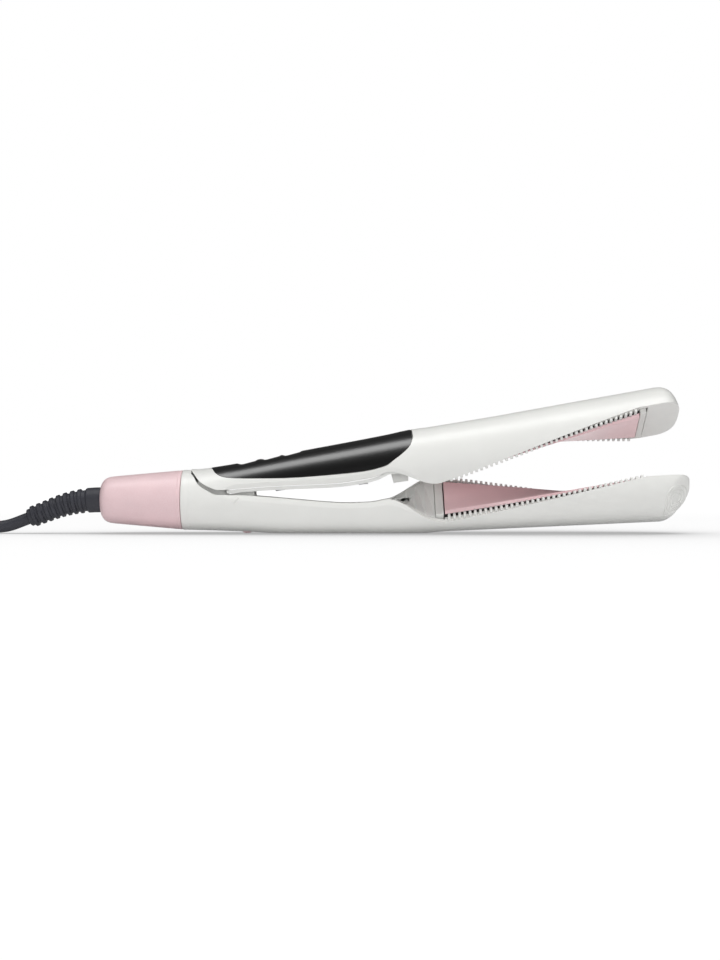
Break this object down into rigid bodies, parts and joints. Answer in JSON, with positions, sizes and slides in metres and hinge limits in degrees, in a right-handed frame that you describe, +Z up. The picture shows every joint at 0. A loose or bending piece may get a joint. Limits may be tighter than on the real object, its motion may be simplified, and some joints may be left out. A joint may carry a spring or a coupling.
{
  "type": "twisted-plate hair iron",
  "caption": "Corded hair iron with two hinged arms, twisted heating plates between comb-toothed rims, a lock slide and a swivel mains lead.",
  "frame": {"origin": "under the middle of the iron itself, on the surface it rests on, leaving out the mains lead", "axes": "+X from the tail collar to the tips, +Z up, +Y to the far side; the belly of the lower handle rests on Z = 0"},
  "size_m": [0.4919, 0.0601, 0.0711],
  "materials": {
    "white_shell": "satin white plastic",
    "grey_inner": "satin light grey plastic",
    "pink_collar": "pearly pink metallic paint on plastic",
    "pink_plate": "pink ceramic-coated aluminium",
    "carrier_plastic": "heat-resistant dark plastic",
    "heater_ceramic": "unglazed ceramic heater",
    "panel_black": "gloss black plastic",
    "board_green": "circuit board laminate",
    "spring_steel": "plain steel",
    "cord_rubber": "soft dark grey vinyl"
  },
  "bodies": {
    "lower_arm": {"lower_shell": "white_shell", "lower_inner_cover": "grey_inner", "lower_plate": "pink_plate", "lower_plate_carrier": "carrier_plastic", "lower_comb_near": "white_shell", "lower_comb_far": "white_shell", "lower_end_stops": "grey_inner", "lower_heater": "heater_ceramic", "lower_cover_screws": "spring_steel", "tip_grip_pad": "grey_inner", "tail_collar": "pink_collar", "neck_ring": "white_shell", "swivel_socket": "carrier_plastic", "hinge_bracket": "carrier_plastic", "hinge_pin": "spring_steel", "hinge_spring": "spring_steel"},
    "upper_arm": {"upper_shell": "white_shell", "control_panel": "panel_black", "circuit_board": "board_green", "upper_inner_cover": "grey_inner", "upper_plate": "pink_plate", "upper_plate_carrier": "carrier_plastic", "upper_comb_near": "white_shell", "upper_comb_far": "white_shell", "upper_end_stops": "grey_inner", "upper_heater": "heater_ceramic", "upper_cover_screws": "spring_steel", "hinge_yoke": "carrier_plastic", "latch_tongue": "grey_inner", "guide_tab": "grey_inner"},
    "power_button": {"power_button": "panel_black"},
    "minus_button": {"minus_button": "panel_black"},
    "plus_button": {"plus_button": "panel_black"},
    "lock_slide": {"lock_slide": "pink_collar"},
    "mains_lead": {"strain_relief": "cord_rubber", "cord": "cord_rubber", "cord_hank": "cord_rubber", "cord_tie": "cord_rubber", "cord_tail": "cord_rubber", "plug_body": "cord_rubber", "plug_pins": "spring_steel"}
  },
  "joints": [
    {"name": "arm_hinge", "type": "hinge", "parent": "lower_arm", "child": "upper_arm", "pos_m": [-0.0929, 0, 0.0246], "axis": [0, 1, 0], "range_deg": [0, 7.8], "stiffness_Nm_per_rad": 1.2, "springref_deg": -20.05, "deforming": ["hinge_spring"]},
    {"name": "power_press", "type": "slide", "parent": "upper_arm", "child": "power_button", "axis": [0.1357, 0, -0.9907], "range_m": [0, 0.0006], "stiffness_N_per_m": 600, "springref_m": -0.0012},
    {"name": "minus_press", "type": "slide", "parent": "upper_arm", "child": "minus_button", "axis": [0.1357, 0, -0.9907], "range_m": [0, 0.0006], "stiffness_N_per_m": 600, "springref_m": -0.0012},
    {"name": "plus_press", "type": "slide", "parent": "upper_arm", "child": "plus_button", "axis": [0.1357, 0, -0.9907], "range_m": [0, 0.0006], "stiffness_N_per_m": 600, "springref_m": -0.0012},
    {"name": "lock_slide_travel", "type": "slide", "parent": "lower_arm", "child": "lock_slide", "axis": [1, 0, 0], "range_m": [-0.004, 0]},
    {"name": "cord_swivel", "type": "hinge", "parent": "lower_arm", "child": "mains_lead", "pos_m": [-0.1435, 0, 0.0163], "axis": [1, 0, 0], "continuous": true}
  ]
}
